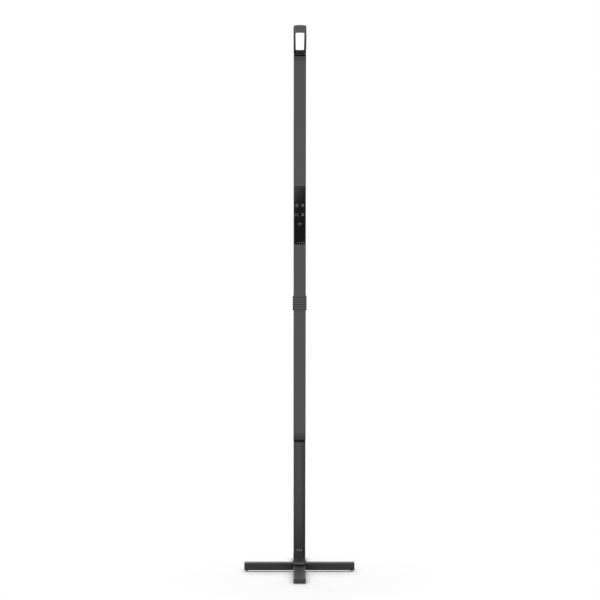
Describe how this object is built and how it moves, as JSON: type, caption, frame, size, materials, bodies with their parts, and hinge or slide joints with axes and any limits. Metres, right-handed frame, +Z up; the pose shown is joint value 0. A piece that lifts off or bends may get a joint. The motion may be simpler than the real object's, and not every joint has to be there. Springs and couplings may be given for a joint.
{
  "type": "cordless floor lamp",
  "caption": "Slim upright floor lamp on a low cross base: round battery tube, turning two-section light pole with rear diffuser, touch panel, ribbed joint sleeve and a tipping carry loop.",
  "frame": {"origin": "on the floor, on the axis of the battery tube", "axes": "+Z up along the pole, -Y towards the control panel side, +X to the right of a person who faces the panel"},
  "size_m": [0.274, 0.274, 1.347],
  "materials": {
    "bar_paint": "satin dark grey powder coat",
    "dark_aluminium": "dark grey anodised, fine matt",
    "black_plastic": "moulded, fine texture",
    "grip_rubber": "matt moulded ribs",
    "foot_rubber": "matt",
    "panel_black": "glossy black glass, printed behind",
    "opal_cover": "milky, satin",
    "clear_pipe": "frosted light pipe",
    "white_plastic": "plain",
    "seam_black": "dull black sliding plastic",
    "circuit_board": "solder mask",
    "led_chip": "phosphor",
    "cell_wrap": "shrink wrap",
    "plain_steel": "plain",
    "lead_sheath": "flexible"
  },
  "bodies": {
    "base": {"cross_bar": "bar_paint", "front_back_bar": "bar_paint", "side_feet": "foot_rubber", "end_feet": "foot_rubber", "base_screws": "plain_steel", "base_flange": "bar_paint", "battery_tube": "dark_aluminium", "board_carrier": "black_plastic", "charge_board": "circuit_board", "charge_port": "plain_steel", "indicator_pipe": "clear_pipe", "battery_sleeve": "black_plastic", "battery_cells": "cell_wrap", "lower_contact": "plain_steel", "contact_spring": "plain_steel", "sleeve_lid": "black_plastic", "power_lead": "lead_sheath", "swivel_bush": "seam_black", "friction_washer": "seam_black"},
    "pole": {"spindle": "plain_steel", "spindle_clip": "plain_steel", "pole_foot": "dark_aluminium", "lower_channel": "dark_aluminium", "lower_diffuser": "opal_cover", "lower_led_strip": "white_plastic", "lower_leds": "led_chip", "joint_spigot": "dark_aluminium", "upper_channel": "dark_aluminium", "upper_diffuser": "opal_cover", "upper_led_strip": "white_plastic", "upper_leds": "led_chip", "panel_tray": "black_plastic", "control_board": "circuit_board", "icon_guide": "white_plastic", "touch_glass": "panel_black", "end_cap": "black_plastic"},
    "sleeve": {"lock_sleeve": "grip_rubber"},
    "loop": {"carry_loop": "black_plastic", "loop_pin": "plain_steel"}
  },
  "joints": [
    {"name": "pole_swivel", "type": "hinge", "parent": "base", "child": "pole", "pos_m": [0, 0, 0.33], "axis": [0, 0, 1], "range_deg": [-170, 170]},
    {"name": "sleeve_slide", "type": "slide", "parent": "pole", "child": "sleeve", "axis": [0, 0, 1], "range_m": [0, 0.06]},
    {"name": "loop_tip", "type": "hinge", "parent": "pole", "child": "loop", "pos_m": [0, 0, 1.2837], "axis": [1, 0, 0], "range_deg": [-113, 37]}
  ]
}
